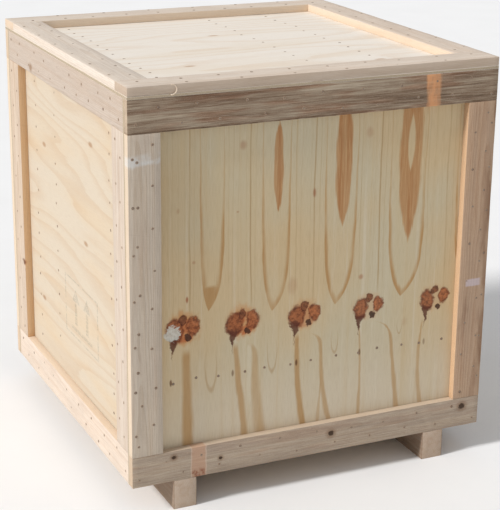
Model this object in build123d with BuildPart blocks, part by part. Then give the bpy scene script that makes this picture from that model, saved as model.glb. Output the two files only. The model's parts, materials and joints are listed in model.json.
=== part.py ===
from build123d import *

import os
from random import Random

# Shipping crate: plywood panels stiffened by sawn boards, on two skids, with a lid that lifts off.
# Millimetres. The origin is on the ground under the middle of the crate, +Z is up, the front faces -Y.

# Driving dimensions
crate_width = 1200.0
crate_depth = 1200.0
panel_height = 1176.0
board_width = 98.0
board_thickness = 27.0
ply_thickness = 9.0
skid_width = 75.0
skid_height = 95.0
skid_spacing = 864.0
eased_edge = 1.0

# The inner battens and joists, by the place of each centre line
front_batten_height = 309.0
side_batten_depths = (231.0, 757.0, 969.0)
lid_joist_places = (175.0, 690.0, 917.0)
deck_board_count = 8
fitting_gap = 2.0

# Nails
shank_radius = 1.5
head_radius = 3.6
head_thickness = 1.4
point_length = 5.0
board_nail_length = 33.0
deck_nail_length = 75.0
ply_nail_length = 31.0
lid_nail_length = 66.0
lid_nail_radius = 2.0
lid_nail_clearance = 0.3
lid_nail_pitch = 180.0
corner_nail_length = 60.0
corner_nail_pitch = 150.0
nail_pitch = 62.0
nail_spread = 22.0
batten_nail_pitch = 75.0
board_nail_pitch = 120.0

# Derived places
wall = board_thickness + ply_thickness
right_x = crate_width / 2
left_x = -right_x
back_y = crate_depth / 2
front_y = -back_y
rim_z = skid_height + panel_height
lid_ply_z = rim_z + ply_thickness
top_z = lid_ply_z + board_thickness
floor_z = skid_height + board_thickness + ply_thickness
joist_z = rim_z - board_thickness
along = {"X": Axis.X, "Y": Axis.Y, "Z": Axis.Z}
section_plane = {"X": Plane.YZ, "Y": Plane.XZ, "Z": Plane.XY}

os.makedirs("parts", exist_ok=True)


def save(piece, name):
    """Label one finished piece and write it as its own file."""
    piece.part.label = name
    export_step(piece.part, f"parts/{name}.step")


def timber(name, grain, low, high, ease=eased_edge, drill=()):
    """A sawn board: its section drawn square to the grain, run to length, its long edges eased, its nail holes bored.

    low and high are opposite corners. drill lists (x, y) places for holes bored down from the top edge.
    """
    size = [b - a for a, b in zip(low, high)]
    middle = Vector(*[(a + b) / 2 for a, b in zip(low, high)])
    flat = section_plane[grain]
    section = Plane(origin=middle, x_dir=flat.x_dir, z_dir=flat.z_dir)
    width, height = {"X": (size[1], size[2]), "Y": (size[0], size[2]), "Z": (size[0], size[1])}[grain]
    length = {"X": size[0], "Y": size[1], "Z": size[2]}[grain]
    with BuildPart() as board:
        with BuildSketch(section):
            Rectangle(width, height)
        extrude(amount=length / 2, both=True)
        if ease:
            chamfer(board.edges().filter_by(along[grain]), ease)
        if drill:
            with Locations(*[(x, y, high[2]) for x, y in drill]):
                Hole(lid_nail_radius + lid_nail_clearance, depth=lid_nail_length - wall + 2)
    save(board, name)


def sheet(name, low, high):
    """A plywood sheet, sawn square."""
    timber(name, "Z", low, high, ease=0)


def nail_group(name, length, radius, places):
    """Identical nails, driven flush, at many places: planes on the wood whose normals point out of it."""
    with BuildPart() as nail:
        with BuildSketch(Plane.XZ):
            with BuildLine():
                Polyline(
                    (0, 0),
                    (head_radius, 0),
                    (head_radius, -head_thickness),
                    (radius, -head_thickness),
                    (radius, point_length - length),
                    (0, -length),
                    close=True,
                )
            make_face()
        revolve(axis=Axis.Z)
    with BuildPart() as group:
        with Locations(*places):
            add(nail.part)
    save(group, name)


def zigzag(start, end, middle, chance):
    """Nail places along a board: (along, across) pairs that cross from side to side, as a nail gun is walked."""
    count = round((end - start) / nail_pitch)
    for i in range(count):
        step = start + (i + 0.5) * (end - start) / count
        side = nail_spread if i % 2 else -nail_spread
        yield step + chance.uniform(-14, 14), middle + side + chance.uniform(-6, 6)


def beside(step, taken):
    """A nail's place along its board, moved clear of the long nails that come down from the lid."""
    return step + 14 if any(abs(step - other) < 7 for other in taken) else step


def row(start, end, chance):
    """Nail places in one line along a hidden batten."""
    count = round((end - start) / batten_nail_pitch)
    for i in range(count):
        yield start + (i + 0.5) * (end - start) / count + chance.uniform(-10, 10)


def even(start, end, pitch):
    """Evenly spaced places between two ends, with half a pitch left at each end."""
    count = round((end - start) / pitch)
    return [start + (i + 0.5) * (end - start) / count for i in range(count)]


def line(start, end, middle, chance):
    """Nail places in one uneven line along a board, as (along, across) pairs."""
    for step in even(start, end, board_nail_pitch):
        yield step + chance.uniform(-16, 16), middle + chance.uniform(-7, 7)


def lid_nail_places():
    """The (x, y) places of the long nails that hold the lid, over the middle of the panels' top boards."""
    inset = board_thickness / 2
    long_run = even(left_x + board_width, right_x - board_width, lid_nail_pitch)
    side_run = even(front_y + board_width, back_y - board_width, lid_nail_pitch)
    front = [(x, front_y + inset) for x in long_run]
    back = [(x, back_y - inset) for x in long_run]
    left = [(left_x + inset, y) for y in side_run]
    right = [(right_x - inset, y) for y in side_run]
    return {"front": front, "back": back, "left": left, "right": right}


def end_panel(panel, outer_y, facing):
    """The front or back panel: it runs the full width and covers the ends of the side panels."""
    inward = -facing
    board_y = sorted((outer_y, outer_y + inward * board_thickness))
    ply_y = sorted((outer_y + inward * board_thickness, outer_y + inward * wall))
    batten_y = sorted((outer_y + inward * wall, outer_y + inward * (wall + board_thickness)))
    low_z, high_z = skid_height + board_width, rim_z - board_width
    sheet(f"{panel}_plywood", (left_x, ply_y[0], skid_height), (right_x, ply_y[1], rim_z))
    timber(
        f"{panel}_top_cleat",
        "X",
        (left_x, board_y[0], high_z),
        (right_x, board_y[1], rim_z),
        drill=lid_nail_places()[panel],
    )
    timber(f"{panel}_bottom_cleat", "X", (left_x, board_y[0], skid_height), (right_x, board_y[1], low_z))
    timber(f"{panel}_left_cleat", "Z", (left_x, board_y[0], low_z), (left_x + board_width, board_y[1], high_z))
    timber(f"{panel}_right_cleat", "Z", (right_x - board_width, board_y[0], low_z), (right_x, board_y[1], high_z))
    batten_z = skid_height + front_batten_height
    timber(
        f"{panel}_inner_batten",
        "X",
        (left_x + wall, batten_y[0], batten_z - board_width / 2),
        (right_x - wall, batten_y[1], batten_z + board_width / 2),
    )


def side_panel(panel, outer_x, facing):
    """The left or right panel: it stands between the front and back panels."""
    inward = -facing
    near_y, far_y = front_y + wall, back_y - wall
    board_x = sorted((outer_x, outer_x + inward * board_thickness))
    ply_x = sorted((outer_x + inward * board_thickness, outer_x + inward * wall))
    batten_x = sorted((outer_x + inward * wall, outer_x + inward * (wall + board_thickness)))
    low_z, high_z = skid_height + board_width, rim_z - board_width
    sheet(f"{panel}_plywood", (ply_x[0], near_y, skid_height), (ply_x[1], far_y, rim_z))
    timber(
        f"{panel}_top_cleat",
        "Y",
        (board_x[0], near_y, high_z),
        (board_x[1], far_y, rim_z),
        drill=lid_nail_places()[panel],
    )
    timber(f"{panel}_bottom_cleat", "Y", (board_x[0], near_y, skid_height), (board_x[1], far_y, low_z))
    timber(f"{panel}_front_cleat", "Z", (board_x[0], near_y, low_z), (board_x[1], near_y + board_width, high_z))
    timber(f"{panel}_back_cleat", "Z", (board_x[0], far_y - board_width, low_z), (board_x[1], far_y, high_z))
    for number, depth in enumerate(side_batten_depths, 1):
        timber(
            f"{panel}_inner_batten_{number}",
            "Z",
            (batten_x[0], front_y + depth - board_width / 2, floor_z),
            (batten_x[1], front_y + depth + board_width / 2, joist_z - fitting_gap),
        )


def base():
    """Two skids, the deck boards across them and the plywood floor, all inside the four panels."""
    for name, side in (("skid_left", -1), ("skid_right", 1)):
        centre = side * skid_spacing / 2
        timber(name, "Y", (centre - skid_width / 2, front_y, 0), (centre + skid_width / 2, back_y, skid_height), ease=2)
    inner_x, inner_y = right_x - wall, back_y - wall
    pitch = (2 * inner_y - board_width) / (deck_board_count - 1)
    for i in range(deck_board_count):
        near = -inner_y + i * pitch
        timber(
            f"deck_board_{i + 1}",
            "X",
            (-inner_x, near, skid_height),
            (inner_x, near + board_width, skid_height + board_thickness),
        )
    sheet("floor_plywood", (-inner_x, -inner_y, skid_height + board_thickness), (inner_x, inner_y, floor_z))


def lid():
    """The plywood top, its four boards above and the three joists beneath that drop inside the crate."""
    inner_y = back_y - wall - fitting_gap
    sheet("lid_plywood", (left_x, front_y, rim_z), (right_x, back_y, lid_ply_z))
    timber("lid_front_cleat", "X", (left_x, front_y, lid_ply_z), (right_x, front_y + board_width, top_z))
    timber("lid_back_cleat", "X", (left_x, back_y - board_width, lid_ply_z), (right_x, back_y, top_z))
    near_y, far_y = front_y + board_width, back_y - board_width
    timber("lid_left_cleat", "Y", (left_x, near_y, lid_ply_z), (left_x + board_width, far_y, top_z))
    timber("lid_right_cleat", "Y", (right_x - board_width, near_y, lid_ply_z), (right_x, far_y, top_z))
    for number, place in enumerate(lid_joist_places, 1):
        timber(
            f"lid_joist_{number}",
            "Y",
            (left_x + place - board_width / 2, -inner_y, joist_z),
            (left_x + place + board_width / 2, inner_y, rim_z),
        )


def end_panel_nails(panel, outer_y, facing, seed):
    """Nails of the front or back panel: a zigzag along each board and one row into the batten behind the plywood."""
    chance = Random(seed)
    half = board_width / 2
    low_z, high_z = skid_height + board_width, rim_z - board_width
    out = (0, facing, 0)
    taken = {"top": [x for x, y in lid_nail_places()[panel]], "bottom": []}
    spots = []
    for edge, z in (("top", rim_z - half), ("bottom", skid_height + half)):
        steps = zigzag(left_x, right_x, z, chance)
        spots += [Plane(origin=(beside(x, taken[edge]), outer_y, z2), z_dir=out) for x, z2 in steps]
    for x in (left_x + half, right_x - half):
        spots += [Plane(origin=(x2, outer_y, z), z_dir=out) for z, x2 in zigzag(low_z, high_z, x, chance)]
    nail_group(f"{panel}_cleat_nails", board_nail_length, shank_radius, spots)
    ply_y = outer_y - facing * board_thickness
    batten_z = skid_height + front_batten_height
    xs = row(left_x + board_width, right_x - board_width, chance)
    spots = [Plane(origin=(x, ply_y, batten_z + chance.uniform(-6, 6)), z_dir=out) for x in xs]
    nail_group(f"{panel}_batten_nails", ply_nail_length, shank_radius, spots)


def side_panel_nails(panel, outer_x, facing, seed):
    """Nails of the left or right panel, all in one group: its four boards, and a row into each inner batten."""
    chance = Random(seed)
    half = board_width / 2
    near_y, far_y = front_y + wall, back_y - wall
    low_z, high_z = skid_height + board_width, rim_z - board_width
    out = (facing, 0, 0)
    taken = [y for x, y in lid_nail_places()[panel]]
    spots = []
    for z in (rim_z - half, skid_height + half):
        steps = zigzag(near_y, far_y, z, chance)
        spots += [Plane(origin=(outer_x, beside(y, taken), z2), z_dir=out) for y, z2 in steps]
    for y in (near_y + half, far_y - half):
        spots += [Plane(origin=(outer_x, y2, z), z_dir=out) for z, y2 in zigzag(low_z, high_z, y, chance)]
    ply_x = outer_x - facing * board_thickness
    for depth in side_batten_depths:
        zs = row(low_z, high_z, chance)
        spots += [Plane(origin=(ply_x, front_y + depth + chance.uniform(-8, 8), z), z_dir=out) for z in zs]
    nail_group(f"{panel}_nails", board_nail_length, shank_radius, spots)


def lid_nails(seed):
    """Short nails through the lid's boards and into its joists, and the long ones into the panels' rims."""
    chance = Random(seed)
    inner = board_width * 0.72
    out = (0, 0, 1)
    spots = []
    for y in (front_y + inner, back_y - inner):
        spots += [Plane(origin=(x, y2, top_z), z_dir=out) for x, y2 in line(left_x, right_x, y, chance)]
    for x in (left_x + inner, right_x - inner):
        ends = (front_y + board_width, back_y - board_width)
        spots += [Plane(origin=(x2, y, top_z), z_dir=out) for y, x2 in line(*ends, x, chance)]
    for place in lid_joist_places:
        ys = row(front_y + board_width, back_y - board_width, chance)
        x = left_x + place
        spots += [Plane(origin=(x + chance.uniform(-8, 8), y, lid_ply_z), z_dir=out) for y in ys]
    nail_group("lid_board_nails", board_nail_length, shank_radius, spots)
    spots = [Plane(origin=(x, y, top_z), z_dir=out) for side in lid_nail_places().values() for x, y in side]
    nail_group("lid_holding_nails", lid_nail_length, lid_nail_radius, spots)


def corner_nails():
    """Long nails through the front and back panels into the ends of the side panels' boards."""
    inset = board_thickness / 2
    spots = []
    for facing in (-1, 1):
        for x in (left_x + inset, right_x - inset):
            for z in even(skid_height + board_width, rim_z - board_width, corner_nail_pitch):
                spots.append(Plane(origin=(x, facing * back_y, z), z_dir=(0, facing, 0)))
    nail_group("corner_nails", corner_nail_length, shank_radius, spots)


def deck_nails():
    """Two long nails through each deck board into each skid."""
    inner_y = back_y - wall
    pitch = (2 * inner_y - board_width) / (deck_board_count - 1)
    spots = []
    for i in range(deck_board_count):
        near = -inner_y + i * pitch
        for x in (-skid_spacing / 2, skid_spacing / 2):
            for share in (0.28, 0.72):
                top = (x, near + share * board_width, skid_height + board_thickness)
                spots.append(Plane(origin=top, z_dir=(0, 0, 1)))
    nail_group("deck_nails", deck_nail_length, shank_radius, spots)


base()
end_panel("front", front_y, -1)
end_panel("back", back_y, 1)
side_panel("left", left_x, -1)
side_panel("right", right_x, 1)
lid()
end_panel_nails("front", front_y, -1, seed=3)
end_panel_nails("back", back_y, 1, seed=4)
side_panel_nails("left", left_x, -1, seed=5)
side_panel_nails("right", right_x, 1, seed=6)
lid_nails(seed=7)
corner_nails()
deck_nails()
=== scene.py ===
# %% [markdown]
# # A plywood shipping crate
# The crate is four plywood sides and a plywood lid, each stiffened by a frame of sawn boards, and a
# floor, standing on two skids. The CAD frame already says where each board is. Blender gives the wood
# its grain, knots, saw marks, uneven edges and nails. Everything is in metres, with the origin on the
# ground under the crate.

# %% Load the frame
import json
import math
from random import Random

import bmesh
import bpy
import numpy as np
from mathutils import Matrix, Quaternion, Vector


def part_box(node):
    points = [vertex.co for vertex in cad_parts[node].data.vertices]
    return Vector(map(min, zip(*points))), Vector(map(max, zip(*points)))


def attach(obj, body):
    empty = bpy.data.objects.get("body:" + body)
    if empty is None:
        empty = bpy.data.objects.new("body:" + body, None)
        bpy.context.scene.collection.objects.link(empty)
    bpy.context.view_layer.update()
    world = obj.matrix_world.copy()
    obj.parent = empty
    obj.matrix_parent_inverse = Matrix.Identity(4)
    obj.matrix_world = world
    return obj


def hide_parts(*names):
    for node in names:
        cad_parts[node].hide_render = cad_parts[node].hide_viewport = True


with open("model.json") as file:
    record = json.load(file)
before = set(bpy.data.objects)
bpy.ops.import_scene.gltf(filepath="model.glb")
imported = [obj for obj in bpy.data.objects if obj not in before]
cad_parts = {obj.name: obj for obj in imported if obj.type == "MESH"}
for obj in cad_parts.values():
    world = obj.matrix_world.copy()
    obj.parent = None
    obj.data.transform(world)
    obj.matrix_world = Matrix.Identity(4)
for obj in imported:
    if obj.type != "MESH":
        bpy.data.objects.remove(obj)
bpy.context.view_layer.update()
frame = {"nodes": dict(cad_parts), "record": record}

scene = bpy.context.scene
body_of = {node: body for body, nodes in frame["record"]["behaviour"]["bodies"].items() for node in nodes}
slot_of = {part["node"]: part["material_slot"] for part in frame["record"]["subparts"]}

# %% [markdown]
# ## The camera
# The camera stands to the left of the front panel, a little above the lid, so that two sides and the
# lid all show. A long lens keeps the upright edges nearly parallel.

# %% Camera
CAMERA_PLACE = Vector((-1.9921, -4.4448, 2.1871))
CAMERA_AZIMUTH = math.radians(-24.681)
CAMERA_ELEVATION = math.radians(18.4)
CAMERA_ROLL = math.radians(0.622)
CAMERA_LENS = 107.6

back = Vector(
    (
        math.sin(CAMERA_AZIMUTH) * math.cos(CAMERA_ELEVATION),
        -math.cos(CAMERA_AZIMUTH) * math.cos(CAMERA_ELEVATION),
        math.sin(CAMERA_ELEVATION),
    )
)
bpy.ops.object.camera_add(location=CAMERA_PLACE)
camera = bpy.context.object
camera.name = "camera"
camera.rotation_mode = "QUATERNION"
camera.rotation_quaternion = (-back).to_track_quat("-Z", "Y") @ Quaternion((0, 0, 1), CAMERA_ROLL)
camera.data.lens = CAMERA_LENS
scene.camera = camera
print("camera at", [round(v, 2) for v in camera.location])

# %% [markdown]
# ## Shader maths as expressions
# A wood pattern is arithmetic on coordinates: distance from the heart of the log, turns of a peeler
# lathe, distance from a knot. Wiring that by hand is slow to read, so a small class wraps a socket and
# lets Python's own operators add the Math nodes.

# %% A socket that does arithmetic
class Signal:
    """One output of a material's nodes. Arithmetic on it adds the nodes that work it out."""

    def __init__(self, tree, socket=None):
        self.tree, self.socket = tree, socket

    def node(self, kind, settings, sockets, output=0):
        """Any node: its settings are set first, then the values or links of its sockets."""
        node = self.tree.nodes.new(kind)
        for name, value in settings.items():
            if name == "stops":
                while len(node.color_ramp.elements) < len(value):
                    node.color_ramp.elements.new(0.5)
                for element, (place, shade) in zip(node.color_ramp.elements, value):
                    element.position = place
                    element.color = shade
            else:
                setattr(node, name, value)
        for name, value in sockets.items():
            if isinstance(value, Signal):
                self.tree.links.new(value.socket, node.inputs[name])
            else:
                node.inputs[name].default_value = value
        return Signal(self.tree, node.outputs[output])

    def math(self, operation, *values):
        return self.node("ShaderNodeMath", {"operation": operation}, dict(enumerate(values)))

    def __abs__(self):
        return self.math("ABSOLUTE", self)

    def root(self):
        return self.math("SQRT", self)

    def cosine(self):
        return self.math("COSINE", self)

    def decay(self):
        """1 at zero, falling off exponentially."""
        return self.math("EXPONENT", 0 - self)

    def whole(self):
        return self.math("FLOOR", self)

    def part(self):
        return self.math("FRACT", self)

    def least(self, other):
        return self.math("MINIMUM", self, other)

    def most(self, other):
        return self.math("MAXIMUM", self, other)

    def smooth(self, low, high):
        """0 below low, 1 above high and a soft step between. With low above high it falls instead."""
        flip = low > high
        ends = {"From Min": min(low, high), "From Max": max(low, high)}
        ends.update({"To Min": 1.0, "To Max": 0.0} if flip else {"To Min": 0.0, "To Max": 1.0})
        return self.node("ShaderNodeMapRange", {"interpolation_type": "SMOOTHSTEP"}, {"Value": self, **ends})

    def feed(self, shader, name):
        """Links this to one of a shader's inputs."""
        self.tree.links.new(self.socket, shader.inputs[name])

    def ramp(self, stops):
        """Colours along this value."""
        return self.node("ShaderNodeValToRGB", {"stops": stops}, {"Fac": self})

    def split(self):
        """The three numbers of a vector."""
        parts = self.node("ShaderNodeSeparateXYZ", {}, {"Vector": self})
        return [Signal(self.tree, output) for output in parts.socket.node.outputs]

    def stored(self, name):
        """The three numbers of one of the mesh's own attributes."""
        return self.node("ShaderNodeAttribute", {"attribute_name": name}, {}, "Vector").split()

    def position(self):
        """X, Y and Z in metres."""
        return self.node("ShaderNodeTexCoord", {}, {}, "Object").split()

    def lots(self, number):
        """Three chance numbers from 0 to 1, the same each time for the same number."""
        drawn = self.node("ShaderNodeTexWhiteNoise", {"noise_dimensions": "1D"}, {"W": number}, "Color")
        return drawn.split()

    def noise(self, x, y, z, detail=2.0, rough=0.5):
        """Cloud noise around 0.5 at a place given in its own cells."""
        place = self.node("ShaderNodeCombineXYZ", {}, {"X": x, "Y": y, "Z": z})
        sockets = {"Vector": place, "Scale": 1.0, "Detail": detail, "Roughness": rough}
        return self.node("ShaderNodeTexNoise", {}, sockets)

    def mix(self, first, second, blend="MIX"):
        """From the first colour to the second as this mask goes from 0 to 1."""
        settings = {"data_type": "RGBA", "blend_type": blend}
        return self.node("ShaderNodeMix", settings, {0: self, 6: first, 7: second}, 2)

    def tint(self, colour, second):
        """The colour multiplied by a second one, by this mask."""
        return self.mix(colour, second, "MULTIPLY")


# The operators, with the Signal on either side
OPERATORS = {"add": "ADD", "sub": "SUBTRACT", "mul": "MULTIPLY", "truediv": "DIVIDE", "pow": "POWER"}
for word, operation in OPERATORS.items():
    setattr(Signal, f"__{word}__", lambda left, right, kind=operation: left.math(kind, left, right))
    setattr(Signal, f"__r{word}__", lambda right, left, kind=operation: right.math(kind, left, right))


def wood_material(name):
    """A new material: its shader node, and a Signal to start expressions from."""
    material = bpy.data.materials.new(name)
    material.use_nodes = True
    tree = material.node_tree
    shader = tree.nodes["Principled BSDF"]
    return material, shader, Signal(tree)


def colour(*chip):
    """A paint-chip colour, given as red, green and blue from 0 to 255, as the shader wants it."""
    linear = [(c / 255 / 12.92) if c <= 10 else ((c / 255 + 0.055) / 1.055) ** 2.4 for c in chip]
    return (*linear, 1.0)


def oval(side, rise, wide, tall):
    """Distance from an oval's middle, 1 on its rim."""
    return ((side / wide) ** 2.0 + (rise / tall) ** 2.0).root()


def finish_wood(start, shader, shade, height, depth, roughness):
    """Feeds a wood's colour, bump and roughness to its shader. depth is the relief in metres."""
    bump = start.node("ShaderNodeBump", {}, {"Height": height, "Distance": depth, "Strength": 0.8}, "Normal")
    shade.feed(shader, "Base Color")
    bump.feed(shader, "Normal")
    roughness.feed(shader, "Roughness")
    shader.inputs["Specular IOR Level"].default_value = 0.3


print("shader maths ready")

# %% [markdown]
# ## Sawn timber
# A board is a slice of a log, so its grain is a solid pattern: rings round the heart of the log,
# stretched along it, cut by the board's faces. Each board stores where its points lay in its log, in
# an attribute named "log". A second, "board", holds the distance to the sawn end, how warm the wood is
# and how weathered. A third, "face", is 1 on the broad faces and less on the narrow ones, and then says
# how fresh those are, since they were ripped last. One function makes every timber from these.

# %% Timber
RING_WIDTH = 0.0042
WHORL_PITCH = 0.46


def knots_in_log(start, across, through, run, stoutness):
    """Knots, which grow out from the heart in whorls: (mask, dark rim, pull on the rings)."""
    cell = (run / WHORL_PITCH).whole()
    turn, shift, size = start.lots(cell + 0.37)
    along = run - (cell + 0.25 + 0.5 * shift) * WHORL_PITCH
    angle = turn * (2 * math.pi)
    cosine, sine = angle.cosine(), (angle - math.pi / 2).cosine()
    outward = across * cosine + through * sine
    sideways = across * sine - through * cosine
    girth = (outward * 0.13).most(0.0001).least(0.007) * size.smooth(0.55, 0.85).most(0.02) * stoutness
    distance = (sideways * sideways + along * along * 0.7).root() / girth
    return distance.smooth(1.15, 0.85), distance.smooth(1.7, 1.0), distance.smooth(4.5, 0.6)


def worn_wood(start, across, through, run, fibre, streak):
    """Wood left outdoors: grey and brown streaks, some reddish, with pale scratches along the grain."""
    thread = start.noise(across * 270, through * 270, run * 9, detail=3, rough=0.65)
    swathe = start.noise(across * 27, through * 27, run * 1.9, detail=2)
    value = streak * 0.25 + swathe * 0.22 + thread * 0.33 + fibre * 0.2
    stops = (
        (0.37, colour(82, 65, 51)),
        (0.46, colour(128, 106, 86)),
        (0.53, colour(154, 137, 117)),
        (0.64, colour(192, 178, 157)),
    )
    shade = value.ramp(stops)
    red = start.noise(across * 34, through * 34, run * 4.2, detail=2, rough=0.5)
    shade = (red.smooth(0.5, 0.66) * 0.6).tint(shade, colour(226, 186, 164))
    scratch = start.noise(across * 620, through * 620, run * 9, detail=1).smooth(0.66, 0.76)
    return (scratch * 0.4).mix(shade, colour(214, 202, 184)), scratch


def timber(name, pale, late, figure, worn_look=0.0, marks=None):
    """Sawn softwood. figure is how strongly the rings show; marks may add a board's own marks."""
    material, shader, start = wood_material(name)
    across, through, run = start.stored("log")
    end, tone, age = start.stored("board")
    broad, fresh, _ = start.stored("face")
    narrow = broad.smooth(0.97, 0.88)
    knot, rim, pull = knots_in_log(start, across, through, run, 0.05 if marks else 1.0)
    wander = start.noise(across * 9, through * 9, run * 1.7, detail=3)
    heart = (across * across + through * through).root()
    radius = heart + (wander - 0.5) * 0.016 + run * 0.008 + pull * 0.006
    ring = (radius / RING_WIDTH + 1.2 * start.noise(radius * 45, 0.0, 0.0)).part()
    latewood = ring.smooth(0.35, 0.95) * ring.smooth(1.0, 0.95)
    fibre = start.noise(across * 1100, through * 1100, run * 22, detail=3, rough=0.6)
    streak = start.noise(across * 64, through * 64, run * 2.6, detail=4, rough=0.62)
    patch = start.noise(across * 14, through * 14, run * 4.5, detail=3)
    fur = start.noise(across * 520, through * 520, run * 380, detail=2)
    stroke = start.noise(across * 11, through * 11, run * 300 + across * 60, detail=2)
    shade = (latewood * figure).mix(pale, late)
    shade = (streak.smooth(0.42, 0.7) * 0.3).tint(shade, colour(228, 206, 184))
    shade = (fibre.smooth(0.6, 0.3) * 0.28).tint(shade, colour(176, 158, 142))
    shade = (patch.smooth(0.4, 0.7) * 0.22 * (1 - narrow)).mix(shade, colour(186, 175, 164))
    worn, scratch = worn_wood(start, across, through, run, fibre, streak)
    wear = (age + (patch - 0.5) * 0.8 + (streak - 0.5) * 0.5).smooth(0.45, 0.95) * (1 - narrow * 0.5)
    shade = (wear.most(worn_look)).mix(shade, worn)
    shade = tone.tint(shade, colour(240, 219, 203))
    shade = (narrow * 0.45 * fresh.smooth(0.0, 0.1)).mix(shade, colour(238, 222, 200))
    shade = (narrow * fresh).tint(shade, colour(246, 222, 192))
    shade = (fur.smooth(0.5, 0.8) * 0.18).mix(shade, colour(240, 228, 212))
    shade = (stroke.smooth(0.6, 0.72) * 0.05).tint(shade, colour(140, 120, 104))
    shade = (rim * 0.6).tint(shade, colour(190, 132, 92))
    shade = (knot * 0.8).mix(shade, colour(104, 66, 42))
    cut = end.smooth(0.0012, 0.0002)
    shade = (cut * 0.3).tint(shade, colour(206, 182, 156))
    height = fibre * 0.5 + fur * 0.3 + stroke * 0.3 + latewood * 0.3 + knot * 0.4 - scratch * wear * 0.4
    if marks:
        shade = marks(start, shade, fibre)
    finish_wood(start, shader, shade, height, 0.0009, 0.72 + 0.25 * fur)
    return material


print("timber function ready")

# %% [markdown]
# Some boards carry marks of their own: a resin-coloured flame across the front's top board, a stained
# band and four dark knots on its bottom one, a chalky smear and a scuff on its uprights, a knot on the
# left panel's top board, painted shade on the lid's front edge and on the skids' flanks. Marks are
# placed in millimetres.

# %% Marks on single boards
HALF_WIDTH = 600
SKID_HEIGHT = 95
# The bottom board's knots: across, up, half height
DARK_KNOTS = ((132, 78, 6.5), (284, 48, 5.5), (660, 60, 9), (1137, 69, 10.5))


def place_on_crate(start):
    """Millimetres from the front panel's lower left corner."""
    x, _, z = start.position()
    return x * 1000 + HALF_WIDTH, z * 1000 - SKID_HEIGHT


def flame_mark(start, shade, fibre):
    x, z = place_on_crate(start)
    edge = start.noise(x * 0.05, z * 0.02, 3.0, detail=3)
    band = abs(x - 974 + (edge - 0.5) * 26).smooth(30, 16) * (0.5 + 0.5 * edge.smooth(0.3, 0.6))
    shade = (band * 0.82).mix(shade, colour(222, 160, 112))
    low = z.smooth(1086, 1079) * start.noise(x * 0.02, z * 0.1, 8.0).smooth(0.4, 0.6)
    return (low * 0.6).tint(shade, colour(150, 118, 84))


def stain_mark(start, shade, fibre):
    x, z = place_on_crate(start)
    edge = start.noise(x * 0.06, z * 0.05, 3.0, detail=3)
    across = abs(x - 212 + (edge - 0.5) * 8)
    shade = (across.smooth(24, 20) * 0.62).mix(shade, colour(196, 154, 126))
    shade = (across.smooth(21, 23) * across.smooth(27, 24) * 0.5).mix(shade, colour(214, 186, 166))
    wet = across.smooth(24, 18) * z.smooth(34, 12) * edge.smooth(0.35, 0.6)
    shade = (wet * 0.9).tint(shade, colour(176, 108, 70))
    rough = start.noise(x * 0.16, z * 0.16, 5.0, detail=2)
    for place, height, size in DARK_KNOTS:
        reach = oval(x - place, z - height, 1.15 * size, size) + (rough - 0.5) * 0.9
        shade = (reach.smooth(2.4, 0.9) * 0.5).tint(shade, colour(180, 146, 112))
        shade = (reach.smooth(1.1, 0.7) * 0.92).mix(shade, colour(62, 44, 32))
    return shade


def chalk_mark(start, shade, fibre):
    x, z = place_on_crate(start)
    edge = start.noise(x * 0.03, z * 0.03, 3.0, detail=3)
    smear = abs(z - 1000 + (edge - 0.5) * 30 - x * 0.1).smooth(20, 8) * edge.smooth(0.3, 0.6)
    return (smear * 0.5).mix(shade, colour(214, 218, 220))


def scuff_mark(start, shade, fibre):
    x, z = place_on_crate(start)
    edge = start.noise(x * 0.03, z * 0.03, 3.0, detail=3)
    scuff = abs(z - 494 + (edge - 0.5) * 10).smooth(14, 9) * x.smooth(1122, 1130) * x.smooth(1184, 1172)
    shade = (scuff * 0.6).mix(shade, colour(204, 192, 200))
    dark = x.smooth(1150, 1196) * start.noise(x * 0.03, z * 0.005, 6.0, detail=3).smooth(0.42, 0.6)
    return (dark * 0.5).tint(shade, colour(170, 140, 118))


def knot_mark(start, shade, fibre):
    _, y, z = start.position()
    y, z = (y - 0.315) * 1000, (z - 1.192) * 1000
    edge = start.noise(y * 0.08, z * 0.08, 4.0, detail=2)
    reach = oval(y, z, 13.2, 11) + (edge - 0.5) * 0.8
    shade = (reach.smooth(1.9, 0.8) * 0.4).tint(shade, colour(206, 172, 138))
    return (reach.smooth(1.05, 0.75) * 0.75).mix(shade, colour(150, 124, 100))


def shaded_edge(start, shade, fibre):
    """Painted shade on the lid's front edge, which faces the front and so is darker than its sunlit top."""
    broad, fresh, _ = start.stored("face")
    x, z = place_on_crate(start)
    cloud = start.noise(x * 0.006, z * 0.05, 2.0, detail=3)
    edge = broad.smooth(0.97, 0.88) * fresh.smooth(0.1, 0.0)
    return (edge * (0.7 + 0.6 * (cloud - 0.5) + 0.4 * (0.5 - fibre))).mix(shade, colour(178, 157, 136))


def skid_flank_shade(start, shade, fibre):
    """Painted shade on the skids' flanks, which stand in the shade under the crate; their ends get less."""
    broad, _, _ = start.stored("face")
    return (broad.smooth(0.9, 0.98) * (0.75 - 0.3 * fibre)).tint(shade, colour(138, 112, 84))


print("marks ready")

# %% [markdown]
# ## Plywood
# Plywood's face is a veneer peeled off a turning log and laid flat, so its figure is not a slice but a
# long unrolled spiral: whatever grows on one side of the log comes round again at every turn, a little
# wider each time. The front sheet shows this plainly, with one whorl of knots five times over. Its
# pattern is drawn in turns of the lathe; the other sheets get quieter streaks. Each sheet stores an
# attribute named "leaf": metres along the grain, across it, and through the sheet.

# %% Sheet edges and quiet veneer
PLY = 0.009
LAYERS = 5


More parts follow.
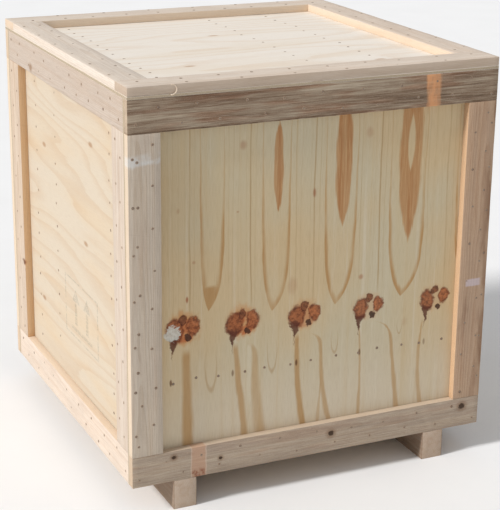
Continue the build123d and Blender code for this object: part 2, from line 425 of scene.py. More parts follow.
def sheet_edge(start, shade, along, across, through):
    """The veneer's colour on the faces, and the stacked layers on the sawn edges."""
    layer = (through / PLY + 0.5) * LAYERS
    turned = (layer / 2).part().smooth(0.49, 0.51)
    glue = abs(layer.part() - 0.5).smooth(0.42, 0.5)
    torn = start.noise(along * 260, across * 260, through * 900, detail=2)
    core = turned.mix(colour(198, 184, 162), colour(176, 158, 134))
    core = (torn.smooth(0.35, 0.7) * 0.4).tint(core, colour(190, 168, 144))
    core = (glue * 0.4).tint(core, colour(150, 128, 108))
    face = abs(through).smooth(PLY * 0.485, PLY * 0.498)
    return face.mix(core, shade), face, torn


def quiet_leaf(start, along, across, pale, warm, figure):
    """Rotary-cut veneer with soft streaks along its grain: (colour, height)."""
    drift = start.noise(along * 0.55, across * 3.1, 3.1, detail=2, rough=0.4)
    rings = drift * 13 + across * 5 + 0.5 * start.noise(along * 3, across * 30, 1.0, detail=2)
    line = rings.part().smooth(0.5, 0.96) * rings.part().smooth(1.0, 0.97)
    pore = start.noise(along * 24, across * 900, 0.0, detail=3, rough=0.6)
    stripe = start.noise(along * 1.3, across * 26, 8.0, detail=4, rough=0.6)
    glow = start.noise(along * 1.4, across * 8, 20.0, detail=3)
    shade = (glow.smooth(0.42, 0.72) * figure).mix(pale, warm)
    shade = (stripe.smooth(0.5, 0.72) * 0.5 * figure).mix(shade, warm)
    shade = (line * 0.4 * figure).tint(shade, colour(226, 190, 146))
    shade = (pore.smooth(0.55, 0.35) * 0.14).tint(shade, colour(190, 168, 142))
    # Now and then a pin knot, drawn out along the grain
    grid = (across * 9).whole()
    place, _, chance = start.lots(grid + 0.2)
    near = oval(((along / 1.3).part() - place) * 1.3, ((across * 9).part() - 0.5) / 9, 0.014, 0.006)
    shade = (near.smooth(1.9, 0.6) * chance.smooth(0.45, 0.5) * 0.6).tint(shade, colour(190, 146, 100))
    return shade, pore * 0.6 + stripe * 0.4


def arrow_stencil(start, shade, fibre):
    """Two arrows over a bar, in a worn frame: which way up. Sprayed through a stencil on the left."""
    _, y, z = start.position()
    y, z = y + 0.07, z - 0.455
    wide, tall = abs(y) / 0.165, abs(z) / 0.1
    rim = wide.most(tall)
    ink = rim.smooth(0.93, 0.95) * rim.smooth(1.0, 0.98) * wide.least(tall).smooth(0.06, 0.1)
    ink = ink.most(abs(y).smooth(0.104, 0.1) * abs(z + 0.068).smooth(0.007, 0.005))
    side = abs(abs(y) - 0.055)
    stem = side.smooth(0.0125, 0.011) * abs(z + 0.015).smooth(0.037, 0.035)
    head = (side - (0.072 - z) * 0.75).smooth(0.001, -0.001) * z.smooth(0.026, 0.028)
    ink = ink.most(stem).most(head)
    worn = start.noise(y * 60, z * 160, 2.0, detail=4, rough=0.7).smooth(0.36, 0.62)
    return (ink * worn * 0.4).mix(shade, colour(122, 124, 112))


def quiet_sheet(name, pale, warm, figure, marks=None):
    material, shader, start = wood_material(name)
    along, across, through = start.stored("leaf")
    shade, height = quiet_leaf(start, along, across, pale, warm, figure)
    if marks:
        shade = marks(start, shade, height)
    shade, face, torn = sheet_edge(start, shade, along, across, through)
    finish_wood(start, shader, shade, height * face + torn * (1 - face) * 1.5, 0.0006, 0.62 + 0.2 * height)
    return material


print("quiet veneer ready")

# %% [markdown]
# The front sheet's figure. Distances are millimetres from the sheet's lower left corner. The peeled log
# gave a turn 191 mm long at the first whorl and about 15 mm more each time round, so the whorls stand
# where that law says, and everything else is placed by its share of a turn: between the whorls the
# rings hang down in deep loops, with a brown lens inside that grows at every turn, and below the
# whorls brown streaks run down to the foot of the sheet.

# %% The front veneer
FIRST_WHORL = 173.0
TURN = 183.4
TURN_GROWTH = 15.2
WHORL_HEIGHT = 462
# Each knot of the whorl: across and up from its middle, half width, half height, darkness
WHORL = (
    (-26, 6, 22, 30, 0.2),
    (0, 38, 11, 13, 0.5),
    (34, 15, 17, 23, 0.1),
    (15, -19, 8, 10, 1.0),
)
# Streaks below the whorls: across at the top, drift to the foot, sideways bow, hook at the top,
# half width at the top and at the foot, height of the top, strength
STREAKS = (
    (185, 2, 0, 0, 12, 19, 408, 0.85),
    (342, 30, 0, 0, 8, 12, 405, 0.75),
    (409, 17, -8, 24, 7, 21, 398, 0.5),
    (547, 28, -10, 0, 7, 12, 405, 0.85),
    (632, 34, -14, 40, 5, 10, 398, 0.65),
    (634, -9, 0, 0, 2, 6, 255, 0.45),
    (763, 7, 2, 0, 3, 6, 395, 0.6),
    (868, 38, 0, 50, 4, 10, 402, 0.7),
    (990, 5, -13, 0, 4, 8, 385, 0.6),
)
# Pin knots and stains: across, up, half width, half height, strength
FLECKS = (
    (187, 562, 4, 9, 0.8),
    (207, 674, 5, 5, 0.35),
    (160, 835, 5, 8, 0.25),
    (363, 1010, 11, 14, 0.35),
    (776, 1010, 12, 15, 0.25),
    (597, 842, 5, 13, 0.6),
    (528, 560, 17, 24, 0.2),
    (764, 556, 8, 8, 0.5),
    (347, 812, 4, 3, 0.4),
    (922, 385, 8, 15, 0.15),
)
# Thin rings: share of a turn from the whorl, half width, strength
THIN_RINGS = (
    (0.13, 2.2, 0.75),
    (-0.16, 1.6, 0.35),
    (0.2, 1.3, 0.3),
    (-0.08, 1.2, 0.22),
    (-0.24, 1.2, 0.25),
    (0.05, 1.0, 0.2),
)
# Rust under the nails of the batten's row: across, strength
RUST_DRIPS = ((134, 1.0), (334, 0.8), (547, 1.0), (766, 0.9), (998, 0.6))


def turns(x):
    """How many turns of the log lie between the first whorl and x."""
    return ((TURN * TURN + 2 * TURN_GROWTH * (x - FIRST_WHORL)).root() - TURN) / TURN_GROWTH


def loops(turn, height, wobble, torn):
    """The hanging loops: (how brown the loop's line is, how brown the lens inside it is)."""
    count = turn.whole()
    middle = 0.5 + 0.035 * count.least(1.0)
    offset = (turn - count - middle) * (TURN + TURN_GROWTH * turn)
    foot = 460 + 57 / (1 + 1.1 * count.most(0.0))
    rise = height - foot + wobble * 1.5
    side = abs(offset + 12 * (rise.most(0.0) / 45).decay()) + wobble
    reach = (39 + 8 * count) * (1 - (rise.most(0.0) / 60).decay())
    gap = reach - side
    thick = rise.smooth(520, 60) * 10 + rise.smooth(50, 0) * 14 + 3.5
    line = gap.smooth(-1.5, 2.0) * (gap / thick + torn * 0.8).smooth(1.4, 0.3) * rise.smooth(-3, 3)
    filled = gap.smooth(-1.0, 1.5) * rise.smooth(84, 70) * rise.smooth(-3, 3) * count.smooth(0.6, 0.4)
    soft = rise.smooth(560, 160) * 0.5 + 0.5
    grown = (count - 1).most(0.0)
    across = (abs(offset - 6) + wobble * 0.7 + torn * 5) / (16 + 11 * grown)
    up = (height - 935) / (138 + 70 * grown)
    # Lenses lie inside loops 1 to 3, and the last one is hollow
    lens = (across + up * up * abs(up) + torn * 0.35).smooth(1.12, 0.86)
    lens = lens * count.smooth(0.4, 0.6) * count.smooth(3.6, 3.4)
    hollow = (abs(offset - 6) / 13 + ((height - 965) / 92) ** 2.0 + torn * 0.3).smooth(1.15, 0.7)
    return (line * soft).most(filled), lens * (1 - hollow * count.smooth(2.4, 2.6))


def fine_lines(start, turn, across, along):
    """Thin rings between the loops, running down to the whorls."""
    near = turn - (turn + 0.5).whole()
    total = None
    for number, (place, width, strength) in enumerate(THIN_RINGS):
        sway = start.noise(across * 2.3, along * 1.6, 40.0 + 7 * number, detail=2) - 0.5
        gap = abs(near - place - sway * 0.09) * (TURN + TURN_GROWTH * turn)
        faded = start.noise(across * 5, along * 1.9, 60.0 + 7 * number).smooth(0.32, 0.62)
        line = (gap / width).smooth(1.6, 0.4) * strength * (0.35 + 0.65 * faded)
        total = line if total is None else total.most(line)
    return total


def whorls(start, shade, turn, height, across, along):
    """The five whorls of knots: the sheet's colour with them drawn in, and their relief."""
    count = (turn + 0.5).whole()
    young = count.smooth(3.4, 0.4)
    gap = (turn - count) * (TURN + TURN_GROWTH * turn)
    ragged = start.noise(across * 38, along * 38, 2.0, detail=3)
    other = start.noise(across * 38, along * 38, 17.0, detail=3)
    fine = start.noise(across * 170, along * 170, 7.0, detail=2)
    side = gap + (ragged - 0.5) * 26 + (fine - 0.5) * 8
    rise = height - (WHORL_HEIGHT - 5.5 * count) + (other - 0.5) * 26 + (fine - 0.5) * 8
    spike = start.noise(across * 60, along * 14, 29.0, detail=3) - 0.5
    glow = oval(side, rise - 12, 54, 44 + 10 * young) + (ragged - 0.5) * 0.4 + spike * 0.9
    shade = (glow.smooth(1.2, 0.6) * (0.3 + 0.6 * young)).mix(shade, colour(200, 146, 92))
    mass = ((side + 2) / 46) ** 2.0 + ((rise - 6) / 38) ** 2.0
    mass = mass.smooth(1.2, 0.7) * (young * 1.2).least(1.0) * other.smooth(0.3, 0.5)
    shade = (mass * 0.85).mix(shade, colour(186, 108, 62))
    relief = mass * 0.5
    burnt = start.noise(across * 90, along * 90, 23.0, detail=3, rough=0.6)
    for dx, dz, wide, tall, dark in WHORL:
        grow = 1.08 + 0.2 * young * (1 - dark)
        reach = oval(side - dx, rise - dz, wide, tall) / grow
        heart = reach.smooth(1.1, 0.84)
        red = colour(196 - 116 * dark, 118 - 72 * dark, 70 - 38 * dark)
        brown = colour(136 - 78 * dark, 72 - 36 * dark, 40 - 18 * dark)
        shade = (heart * 0.92).mix(shade, burnt.smooth(0.38, 0.66).mix(red, brown))
        rim = reach.smooth(1.22, 1.0) * reach.smooth(0.7, 0.95)
        shade = (rim * (0.2 + 0.7 * burnt)).tint(shade, colour(140, 74, 44))
        ripple = ((reach * 13 + ragged * 5).cosine() * 0.5 + 0.5) * heart
        shade = (ripple * 0.14).tint(shade, colour(140, 78, 50))
        relief = relief + heart
    drip = rise + 30
    tail = ((abs(side + 31) - (drip + 34) * 0.34).smooth(2.5, -2.5)) * drip.smooth(26, 10)
    shade = (tail * 0.88).mix(shade, colour(92, 44, 28))
    thread = abs(side + 33).smooth(2.0, 0.5) * drip.smooth(0, -20) * drip.smooth(-62, -44)
    shade = (thread * 0.6).tint(shade, colour(150, 100, 60))
    # The first whorl was patched with pale filler
    filler = oval(side + 33, rise + 2, 24, 25) + (fine - 0.5) * 0.6
    filler = filler.smooth(1.08, 0.9) * count.smooth(0.5, 0.3)
    paste = burnt.smooth(0.3, 0.7).mix(colour(196, 196, 184), colour(232, 232, 222))
    shade = (filler * 0.8).mix(shade, paste)
    return shade, relief


def front_sheet(name):
    material, shader, start = wood_material(name)
    along, across, through = start.stored("leaf")
    wave = start.noise(across * 3, along * 4.2, 1.0, detail=2) - 0.5
    jag = start.noise(across * 40, along * 12, 11.0, detail=3) - 0.5
    height = along * 1000
    x = across * 1000 + wave * 10
    turn = turns(x)
    pore = start.noise(across * 950, along * 22, 0.0, detail=3, rough=0.6)
    stripe = start.noise(across * 55, along * 1.1, 9.0, detail=4, rough=0.6)
    torn = start.noise(across * 240, along * 9, 21.0, detail=2) - 0.5
    line, lens = loops(turn, height, wave * 6 + jag * 6, torn)
    above = height.smooth(445, 475)
    band = start.noise(across * 11, along * 0.6, 19.0, detail=2)
    hue = start.noise(across * 3.2, along * 2.4, 14.0, detail=2)
    mottle = start.noise(across * 30, along * 5, 30.0, detail=3)
    shade = hue.smooth(0.35, 0.68).mix(colour(200, 187, 158), colour(206, 183, 145))
    shade = (height.smooth(440, 80) * 0.8).mix(shade, colour(212, 199, 178))
    # Painted shade: the sheet's upper left is darkened, where the left board and the lid shade it.
    shade = (x.smooth(330, 100) * height.smooth(520, 900) * 0.6).tint(shade, colour(232, 232, 232))
    shade = (band.smooth(0.4, 0.7) * 0.4).mix(shade, colour(204, 184, 146))
    shade = (stripe.smooth(0.5, 0.74) * 0.45).mix(shade, colour(198, 173, 132))
    shade = (stripe.smooth(0.45, 0.22) * 0.4).mix(shade, colour(220, 211, 192))
    thin = fine_lines(start, turn, across, along) * height.smooth(470, 560)
    shade = (thin * 0.9).mix(shade, colour(168, 136, 92))
    shade = (line * above * (0.3 + 0.8 * mottle.smooth(0.25, 0.6))).mix(shade, colour(182, 144, 96))
    shade = (lens * (0.7 + 0.3 * mottle)).mix(shade, colour(180, 132, 84))
    shade = (lens * stripe.smooth(0.42, 0.62) * 0.5).tint(shade, colour(226, 190, 150))
    shade = (lens * torn.smooth(0.02, -0.12) * 0.35).mix(shade, colour(206, 170, 124))
    for place, drift, bow, hook, top_half, foot_half, top, strength in STREAKS:
        down = top - height
        share = (down / (top - 95)).most(0.0)
        bend = hook * (down / 16).most(-1.0).decay() if hook else 0.0
        centre = place + drift * share + bow * 4 * share * (1 - share) - bend
        half = top_half + (foot_half - top_half) * share + jag * 9 + torn * 5
        gap = abs(x - centre) / half
        reach = gap.smooth(1.45, 0.4) * down.smooth(-4, 26)
        core = gap.smooth(0.75, 0.2) * mottle.smooth(0.4, 0.6)
        shade = (reach * strength * (0.65 + 0.7 * mottle)).mix(shade, colour(178, 138, 86))
        shade = (core * down.smooth(0, 30) * 0.2).mix(shade, colour(200, 172, 132))
    for count in range(4):
        centre = FIRST_WHORL + TURN * (count + 0.49) + TURN_GROWTH / 2 * (count + 0.49) ** 2
        level = (height - 350 - 9 * count) / (98 - 22 * count)
        rim = oval(x - centre + jag * 8, level, 20 - 3.5 * count, 1.0) + abs(level) * 0.1
        line = rim.smooth(0.78, 0.95) * rim.smooth(1.16, 0.98) * level.smooth(0.7, -0.5)
        shade = (line * 0.5).mix(shade, colour(172, 138, 96))
    gleam = abs(x - 388).smooth(9, 4) * height.smooth(180, 230) * height.smooth(400, 380)
    shade = (gleam * 0.45).mix(shade, colour(216, 206, 184))
    for place, level, wide, tall, strength in FLECKS:
        fleck = oval(x - place, height - level, wide, tall) + jag * 0.8
        shade = (fleck.smooth(1.5, 0.4) * strength).tint(shade, colour(196, 118, 76))
    shade, relief = whorls(start, shade, turn, height, across, along)
    for place, strength in RUST_DRIPS:
        drip = oval(across * 1000 - place, 307 - height, 4.5, 12).smooth(1.2, 0.5)
        shade = (drip * 0.8 * strength).tint(shade, colour(126, 88, 60))
    shade = (pore.smooth(0.55, 0.35) * 0.18).tint(shade, colour(186, 162, 132))
    inner, _ = quiet_leaf(start, along, across, colour(212, 198, 174), colour(208, 182, 146), 1.0)
    outside = through.smooth(-0.001, 0.001)
    shade = outside.mix(inner, shade)
    shade, face, torn = sheet_edge(start, shade, along, across, through)
    bumps = (pore * 0.6 + stripe * 0.4 - relief * 0.5) * face + torn * (1 - face) * 1.5
    finish_wood(start, shader, shade, bumps, 0.0006, 0.6 + 0.2 * pore)
    return material


print("front veneer ready")

# %% [markdown]
# ## Nails
# The boards are held by gun nails, driven flush. What is seen is a dull steel head in a ring of
# crushed, stained wood. Two materials do it: worn steel, and wood darkened by rust.

# %% Steel and stain
def nail_steel(name):
    material, shader, start = wood_material(name)
    x, y, z = start.position()
    rust = start.noise(x * 260, y * 260, z * 260, detail=4, rough=0.65)
    shade = rust.smooth(0.42, 0.62).mix(colour(146, 134, 120), colour(122, 98, 78))
    shade.feed(shader, "Base Color")
    (rust.smooth(0.62, 0.45) * 0.25).feed(shader, "Metallic")
    (0.45 + rust * 0.4).feed(shader, "Roughness")
    return material


def crushed_wood(name):
    material, shader, start = wood_material(name)
    x, y, z = start.position()
    grime = start.noise(x * 400, y * 400, z * 400, detail=3)
    blotch = start.noise(x * 17, y * 17, z * 17, detail=2)
    shade = grime.smooth(0.3, 0.7).mix(colour(140, 112, 88), colour(196, 172, 148))
    shade = (blotch.smooth(0.52, 0.62) * 0.7).tint(shade, colour(150, 116, 88))
    finish_wood(start, shader, shade, grime, 0.0004, 0.8 + 0.1 * grime)
    return material


# Early and late wood of each kind of timber
SAWN = (colour(214, 201, 184), colour(188, 168, 146))
BLEACHED = (colour(228, 217, 204), colour(208, 192, 174))
DRY = (colour(232, 210, 176), colour(208, 172, 130))
DAMP = (colour(212, 200, 186), colour(184, 162, 140))
SILVERED = (colour(214, 205, 193), colour(190, 172, 154))
DULL = (colour(198, 183, 169), colour(176, 157, 138))
LEFT_VENEER = (colour(205, 191, 171), colour(208, 183, 149))
LID_VENEER = (colour(238, 230, 219), colour(230, 215, 194))
PLAIN_VENEER = (colour(214, 201, 178), colour(212, 186, 150))
steel = nail_steel("nail_steel")
stain = crushed_wood("crushed_wood")
bleached = timber("bleached_board", *BLEACHED, 0.4)
timbers = {
    "sawn_board": timber("sawn_board", *SAWN, 0.5),
    "weathered_board": timber("weathered_board", *SAWN, 0.4),
    "inner_board": timber("inner_board", *DRY, 0.6),
    # The skids' flanks get painted shade, for the shade under the crate.
    "skid_timber": timber("skid_timber", *DAMP, 0.5, 0.0, skid_flank_shade),
    "front_top_cleat": timber("front_top_board", *SAWN, 0.4, 1.0, flame_mark),
    "front_bottom_cleat": timber("front_bottom_board", *SAWN, 0.45, 0.55, stain_mark),
    "front_left_cleat": timber("front_left_board", *SAWN, 0.45, 0.2, chalk_mark),
    "front_right_cleat": timber("front_right_board", *SAWN, 0.5, 0.25, scuff_mark),
    # The lid's front edge gets painted shade.
    "lid_front_cleat": timber("lid_front_board", *BLEACHED, 0.4, 0.0, shaded_edge),
    "lid_left_cleat": bleached,
    "lid_right_cleat": bleached,
    "lid_back_cleat": bleached,
    "left_front_cleat": timber("left_front_board", *SILVERED, 0.4),
    "left_bottom_cleat": bleached,
    "left_top_cleat": timber("left_top_board", *DULL, 0.4, 0.0, knot_mark),
}
sheets = {
    "front_plywood": front_sheet("front_plywood"),
    "left_plywood": quiet_sheet("left_plywood", *LEFT_VENEER, 0.5, arrow_stencil),
    "lid_plywood": quiet_sheet("lid_plywood", *LID_VENEER, 0.45),
    "other": quiet_sheet("plywood", *PLAIN_VENEER, 0.8),
}
print("materials", len(bpy.data.materials))

# %% [markdown]
# ## Making a board by hand
# A board starts as a cube between the corners that the frame gives. Its long edges are cut across so
# that it can be uneven, its corners are eased by a Bevel, and two gentle Displace modifiers make it
# bow and give it the ripple of a worn saw. All modifiers are applied, so what renders is the mesh.

# %% Board tools
def block(name, low, high):
    """A box between two corners, as a mesh whose object sits at the origin."""
    bpy.ops.object.select_all(action="DESELECT")
    bpy.ops.mesh.primitive_cube_add(size=1, location=(low + high) / 2, scale=high - low)
    bpy.ops.object.transform_apply(location=True, rotation=True, scale=True)
    piece = bpy.context.object
    piece.name = piece.data.name = name
    return piece


def choose(piece, kind, test):
    """Selects, in edit mode, only the edges or faces that pass a test."""
    bpy.ops.mesh.select_mode(type=kind)
    bpy.ops.mesh.select_all(action="DESELECT")
    mesh = bmesh.from_edit_mesh(piece.data)
    for part in mesh.edges if kind == "EDGE" else mesh.faces:
        part.select_set(test(part))
    bmesh.update_edit_mesh(piece.data)


def divide(piece, axis, length, pitch):
    """Cuts across every edge that runs along one axis, about a pitch apart."""

    def along_axis(edge):
        run = edge.verts[0].co - edge.verts[1].co
        return abs(run[axis]) > 0.9 * run.length

    bpy.ops.object.mode_set(mode="EDIT")
    choose(piece, "EDGE", along_axis)
    bpy.ops.mesh.subdivide(number_cuts=max(1, round(length / pitch) - 1))
    bpy.ops.object.mode_set(mode="OBJECT")


def uneven(piece, ease, bow, ripple):
    """Eases the corners and makes the faces uneven, then applies it all."""
    bevel = piece.modifiers.new("eased corners", "BEVEL")
    bevel.width = ease
    bevel.segments = 2
    bevel.limit_method = "ANGLE"
    for name, cells, strength in (("bow", 0.35, bow), ("ripple", 0.045, ripple)):
        clouds = bpy.data.textures.get(name) or bpy.data.textures.new(name, "CLOUDS")
        clouds.noise_scale = cells
        shift = piece.modifiers.new(name, "DISPLACE")
        shift.texture = clouds
        shift.strength = strength
    for modifier in list(piece.modifiers):
        bpy.ops.object.modifier_apply(modifier=modifier.name)
    bpy.ops.object.shade_smooth_by_angle(angle=math.radians(40))


def points_of(piece):
    places = np.empty(len(piece.data.vertices) * 3, np.float32)
    piece.data.vertices.foreach_get("co", places)
    return places.reshape(-1, 3)


def store(piece, name, columns):
    """Writes three numbers for each point as an attribute that materials read."""
    attribute = piece.data.attributes.new(name, "FLOAT_VECTOR", "POINT")
    attribute.data.foreach_set("vector", np.stack(columns, 1).astype(np.float32).ravel())


def stand_for(piece, node):
    """The piece takes a CAD node's place and body, and the node is hidden."""
    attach(piece, body_of[node])
    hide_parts(node)


print("board tools ready")

# %% [markdown]
# ## All the boards
# Every timber node becomes a board. Its grain runs along its longest side. Where the heart of the log
# lay, beside or behind the board, decides whether its face shows straight lines or arches, so that is
# drawn by lot for each board, with a fixed seed.

# %% Boards
timber_nodes = sorted(node for node, slot in slot_of.items() if slot in timbers)
chance = Random(11)
CUT_ALONG, CUT_ACROSS = 0.02, 0.025
BOARD_BOW, BOARD_RIPPLE = 0.0016, 0.0011
SPLINTER_FOOT = Vector((0.13, -0.0016, -0.003))
SPLINTER_RADIUS, SPLINTER_WIDTH, SPLINTER_THICKNESS = 0.0155, 0.0034, 0.0006
# How weathered a board is, how warm, and how fresh its narrow faces are, from 0 to 1. Other boards
# draw their age and warmth by lot.
AGE = {
    "front_top_cleat": 1.0,
    "front_bottom_cleat": 0.5,
    "front_right_cleat": 0.5,
    "lid_front_cleat": 0.0,
    "lid_left_cleat": 0.15,
    "lid_right_cleat": 0.1,
    "lid_back_cleat": 0.0,
    "left_top_cleat": 0.15,
}
TONE = {"front_right_cleat": 1.0, "front_left_cleat": 0.0, "front_top_cleat": 0.1, "front_bottom_cleat": 0.15}
FRESH = {
    "lid_front_cleat": 0.0,
    "lid_left_cleat": 0.0,
    "front_top_cleat": 0.1,
    "front_bottom_cleat": 0.2,
    "left_back_cleat": 1.0,
    "front_right_cleat": 0.8,
    "skid_left": 0.0,
    "skid_right": 0.0,
}


def add_splinter(board, foot):
    """A shaving torn from an arris and curled up: an edge spun round, thickened and joined on."""
    bpy.ops.object.select_all(action="DESELECT")
    bpy.ops.mesh.primitive_plane_add(size=SPLINTER_WIDTH, location=foot, rotation=(math.radians(90), 0, 0))
    curl = bpy.context.object
    bpy.ops.object.transform_apply(location=True, rotation=True, scale=True)
    bpy.ops.object.mode_set(mode="EDIT")
    choose(curl, "EDGE", lambda edge: all(point.co.x > foot.x for point in edge.verts))
    bpy.ops.mesh.spin(
        steps=14,
        angle=math.radians(180),
        center=foot + Vector((0, 0, SPLINTER_RADIUS)),
        axis=(0.1, 1, 0.2),
    )
    bpy.ops.object.mode_set(mode="OBJECT")
    solid = curl.modifiers.new("thickness", "SOLIDIFY")
    solid.thickness = SPLINTER_THICKNESS
    bpy.ops.object.modifier_apply(modifier=solid.name)
    bpy.ops.object.mode_set(mode="EDIT")
    bpy.ops.mesh.select_all(action="SELECT")
    bpy.ops.mesh.normals_make_consistent(inside=False)
    bpy.ops.object.mode_set(mode="OBJECT")
    bpy.ops.object.shade_smooth()
    board.select_set(True)
    bpy.context.view_layer.objects.active = board
    bpy.ops.object.join()


def saw_board(node):
    low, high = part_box(node)
    size = high - low
    grain = max(range(3), key=lambda axis: size[axis])
    piece = block(node + "_wood", low, high)
    first, second = [axis for axis in range(3) if axis != grain]
    divide(piece, grain, size[grain], CUT_ALONG)
    divide(piece, first, size[first], CUT_ACROSS)
    divide(piece, second, size[second], CUT_ACROSS)
    uneven(piece, chance.uniform(0.0012, 0.0022), BOARD_BOW, BOARD_RIPPLE)
    if node == "lid_front_cleat":
        add_splinter(piece, low + SPLINTER_FOOT)
    places = points_of(piece)
    if low.z < 0.001:  # the skids stay above the ground
        places[:, 2] = places[:, 2].clip(0)
        piece.data.vertices.foreach_set("co", places.ravel())
    middle = np.array((low + high) / 2)
    heart = (chance.uniform(-0.05, 0.05), chance.uniform(-0.05, 0.05))
    # The heart lies beyond one of the broad faces
    thin = first if size[first] < size[second] else second
    away = chance.uniform(0.03, 0.08) * chance.choice((-1, 1))
    heart = (away, heart[1]) if thin == first else (heart[0], away)
    run = places[:, grain]
    sides = [places[:, axis] - middle[axis] + off for axis, off in zip((first, second), heart)]
    store(piece, "log", (*sides, run + chance.uniform(0, 40)))
    end = np.minimum(run - low[grain], high[grain] - run).clip(0)
    tone = TONE.get(node, chance.uniform(0.0, 0.4))
    age = AGE.get(node, chance.uniform(0.2, 0.5))
    store(piece, "board", (end, np.full_like(run, tone), np.full_like(run, age)))
    torn = places[:, 1] < low.y - 0.0012  # only the splinter stands this far out
    broad = np.where(torn, 0, np.abs(places[:, thin] - middle[thin]) / (size[thin] / 2))
    store(piece, "face", (broad, np.where(torn, 0.2, FRESH.get(node, 0.25)), broad * 0))
    piece.data.materials.append(timbers.get(node) or timbers[slot_of[node]])
    stand_for(piece, node)
    return piece


boards = [saw_board(node) for node in timber_nodes]
print("boards", len(boards), "faces", sum(len(board.data.polygons) for board in boards))

# %% [markdown]
# ## The plywood sheets
# A sheet is sawn square, so its edges are barely eased, and it is flat but for a slight bow between
# its nails. It stores its own directions for the veneer.

# %% Sheets
# For each sheet: the axis its face grain runs along, and the axis through it with the outer side's sign
LAID = {
    "front_plywood": (2, 1, -1),
    "back_plywood": (0, 1, 1),
    "left_plywood": (1, 0, -1),
    "right_plywood": (1, 0, 1),
    "lid_plywood": (0, 2, 1),
    "floor_plywood": (0, 2, 1),
}
SHEET_CUT = 0.06
# Eased edge, bow and ripple
SHEET_UNEVEN = (0.0005, 0.0012, 0.0003)


def lay_sheet(number, node):
    grain, thick, outer = LAID[node]
    across = 3 - grain - thick
    low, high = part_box(node)
    piece = block(node + "_sheet", low, high)
    for axis in (grain, across):
        divide(piece, axis, (high - low)[axis], SHEET_CUT)
    uneven(piece, *SHEET_UNEVEN)
    places = points_of(piece)
    through = ((places[:, thick] - (low[thick] + high[thick]) / 2) * outer).clip(-PLY / 2, PLY / 2)
    flat = np.abs(through) > PLY * 0.35
    through = np.where(flat, np.sign(through) * PLY / 2, through)
    # Each sheet but the front one is cut from another stretch of veneer
    offset = 0 if node == "front_plywood" else 3.7 * (number + 1)
    leaf = [places[:, axis] - low[axis] + offset for axis in (grain, across)]
    store(piece, "leaf", (*leaf, through))
    piece.data.materials.append(sheets.get(node) or sheets["other"])
    stand_for(piece, node)
    return piece


laid = [lay_sheet(number, node) for number, node in enumerate(LAID)]
print("sheets", len(laid))

# %% [markdown]
# ## The nails
# One nail is modelled by hand: a disc, its top inset and raised, its underside inset to the shank,
# the shank drawn down and closed to a point, and a low collar of crushed wood round the head. It is
# then copied to each nail that the frame holds.

# %% One nail
HEAD_RADIUS = 0.0032
HEAD_HEIGHT = 0.0014
POINT_LENGTH = 0.005
COLLAR_THICKNESS = 0.0008


def model_nail(length, radius):
    """A nail standing on its point under the origin, with its head's top at the origin."""
    bpy.ops.object.select_all(action="DESELECT")
    bpy.ops.mesh.primitive_cylinder_add(
        vertices=10, radius=HEAD_RADIUS, depth=HEAD_HEIGHT, location=(0, 0, -HEAD_HEIGHT / 2)
    )
    nail = bpy.context.object
    bpy.ops.object.transform_apply(location=True, rotation=True, scale=True)
    bpy.ops.object.mode_set(mode="EDIT")
    choose(nail, "FACE", lambda face: face.normal.z > 0.9)
    bpy.ops.mesh.inset(thickness=HEAD_RADIUS * 0.3, depth=0)
    bpy.ops.transform.translate(value=(0, 0, 0.0004))
    choose(nail, "FACE", lambda face: face.normal.z < -0.9)
    bpy.ops.mesh.inset(thickness=HEAD_RADIUS - radius, depth=0)
    for drop in (length - HEAD_HEIGHT - POINT_LENGTH, POINT_LENGTH):
        bpy.ops.mesh.extrude_region_move(TRANSFORM_OT_translate={"value": (0, 0, -drop)})
    bpy.ops.mesh.merge(type="CENTER")
    bpy.ops.object.mode_set(mode="OBJECT")
    bpy.ops.object.shade_smooth_by_angle(angle=math.radians(30))
    nail.data.materials.append(steel)
    return nail


def model_collar():
    """A low ring of crushed wood round a nail's head, half sunk in the board."""
    bpy.ops.object.select_all(action="DESELECT")
    bpy.ops.mesh.primitive_torus_add(
        major_radius=HEAD_RADIUS * 1.1,
        minor_radius=COLLAR_THICKNESS,
        major_segments=12,
        minor_segments=5,
    )
    collar = bpy.context.object
    bpy.ops.object.mode_set(mode="EDIT")
    bpy.ops.mesh.select_all(action="SELECT")
    bpy.ops.transform.resize(value=(1.08, 1.08, 0.55))
    bpy.ops.transform.vertex_random(offset=0.00035, seed=3)
    bpy.ops.object.mode_set(mode="OBJECT")
    collar.data.materials.append(stain)
    return collar


print("nail tools ready")

# %% [markdown]
# The frame's nails are loose solids in one mesh. Points that share a face belong to one nail, and the
# nail's longest side and the way out of the crate say how it stands.

# %% Where the nails are
def nails_in(node):
    """(place of the head's top, way out, length) of each nail in a CAD node."""
    source = frame["nodes"][node].data
    keys, owner = {}, {}
    names = [keys.setdefault(tuple(round(v, 5) for v in point.co), len(keys)) for point in source.vertices]

    def root(key):
        while owner.setdefault(key, key) != key:
            owner[key] = owner[owner[key]]
            key = owner[key]
        return key

    for face in source.polygons:
        corners = [names[index] for index in face.vertices]
        for other in corners[1:]:
            owner[root(other)] = root(corners[0])
    groups = {}
    for key, number in keys.items():
        groups.setdefault(root(number), []).append(key)
    found = []
    for places in groups.values():
        places = np.array(places)
        low, high = places.min(0), places.max(0)
        size = high - low
        axis = int(size.argmax())
        middle = (low + high) / 2
        sign = 1 if axis == 2 or middle[axis] > 0 else -1
        top = middle.copy()
        top[axis] = high[axis] if sign > 0 else low[axis]
        out = Vector((0, 0, 0))
        out[axis] = sign
        found.append((Vector(top), out, float(size[axis])))
    return sorted(found, key=lambda nail: tuple(nail[0]))


nail_nodes = sorted(node for node, slot in slot_of.items() if slot == "nail_steel")
NAIL_RADIUS = 0.0015
THICK_NAIL_RADIUS = 0.002


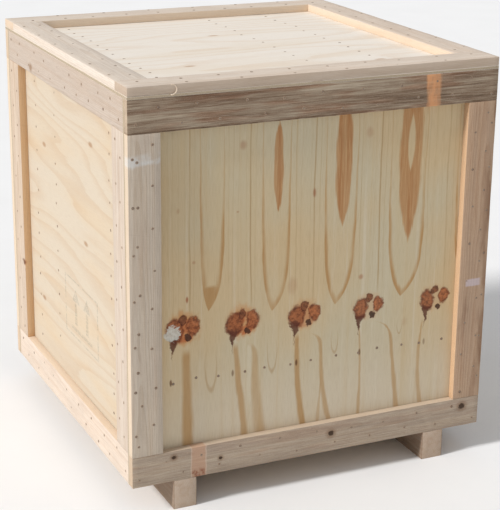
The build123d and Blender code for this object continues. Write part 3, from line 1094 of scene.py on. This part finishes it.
def drive_nails(node):
    """All the nails of one CAD node, as one piece."""
    found = nails_in(node)
    radius = THICK_NAIL_RADIUS if node == "lid_holding_nails" else NAIL_RADIUS
    pattern = model_nail(found[0][2], radius)
    collar = model_collar()
    hammer = Random(len(found))
    copies = []
    for place, out, _ in found:
        spin = Quaternion((0, 0, 1), hammer.uniform(0, 2 * math.pi))
        tilt = Quaternion((1, 0, 0), math.radians(hammer.uniform(-4, 4)))
        turn = (out.to_track_quat("Z", "Y") @ tilt @ spin).to_matrix().to_4x4()
        sunk = Matrix.Translation(place + out * hammer.uniform(-0.0001, 0.0004))
        for shape, move in ((pattern, sunk @ turn), (collar, Matrix.Translation(place) @ turn)):
            copy = shape.copy()
            copy.data = shape.data.copy()
            copy.data.transform(move)
            scene.collection.objects.link(copy)
            copies.append(copy)
    bpy.data.objects.remove(pattern)
    bpy.data.objects.remove(collar)
    bpy.ops.object.select_all(action="DESELECT")
    for copy in copies:
        copy.matrix_world = Matrix.Identity(4)
        copy.select_set(True)
    bpy.context.view_layer.objects.active = copies[0]
    bpy.ops.object.join()
    piece = bpy.context.object
    piece.name = piece.data.name = node + "_driven"
    stand_for(piece, node)
    return piece, len(found)


driven = [drive_nails(node) for node in nail_nodes]
print("nails", sum(count for _, count in driven), "faces", sum(len(p.data.polygons) for p, _ in driven))

# %% [markdown]
# ## Floor and light
# A plain pale floor and a pale sky. The sun stands to the left, so the left panel and the lid are
# bright and the front is in soft shade, lit by the sky and the floor, with a grazing gleam on the
# inner edges of its boards.

# %% Stage
def pale_floor():
    material, shader, start = wood_material("pale_floor")
    x, y, z = start.position()
    cloud = start.noise(x * 3, y * 3, z, detail=3)
    shade = cloud.mix(colour(240, 240, 240), colour(246, 246, 246))
    shade.feed(shader, "Base Color")
    shader.inputs["Roughness"].default_value = 0.9
    return material


FLOOR_SIZE = 60
bpy.ops.object.select_all(action="DESELECT")
bpy.ops.mesh.primitive_plane_add(size=FLOOR_SIZE)
floor = bpy.context.object
floor.name = "floor"
floor.data.materials.append(pale_floor())

SUN_DIRECTION = Vector((0.80, 0.09, -0.58))
SUN_STRENGTH = 2.85
SUN_SPREAD = math.radians(9)
SKY_STRENGTH = 0.5
bpy.ops.object.light_add(type="SUN", location=(-4, 1, 3))
sun = bpy.context.object
sun.rotation_mode = "QUATERNION"
sun.rotation_quaternion = SUN_DIRECTION.to_track_quat("-Z", "Y")
sun.data.energy = SUN_STRENGTH
sun.data.angle = SUN_SPREAD
sun.data.color = (1.0, 0.99, 0.98)

world = bpy.data.worlds.new("sky")
scene.world = world
world.use_nodes = True
sky = world.node_tree.nodes["Background"].inputs
sky["Color"].default_value = (0.97, 0.98, 1.0, 1)
sky["Strength"].default_value = SKY_STRENGTH
scene.view_settings.view_transform = "Standard"
print("stage ready")
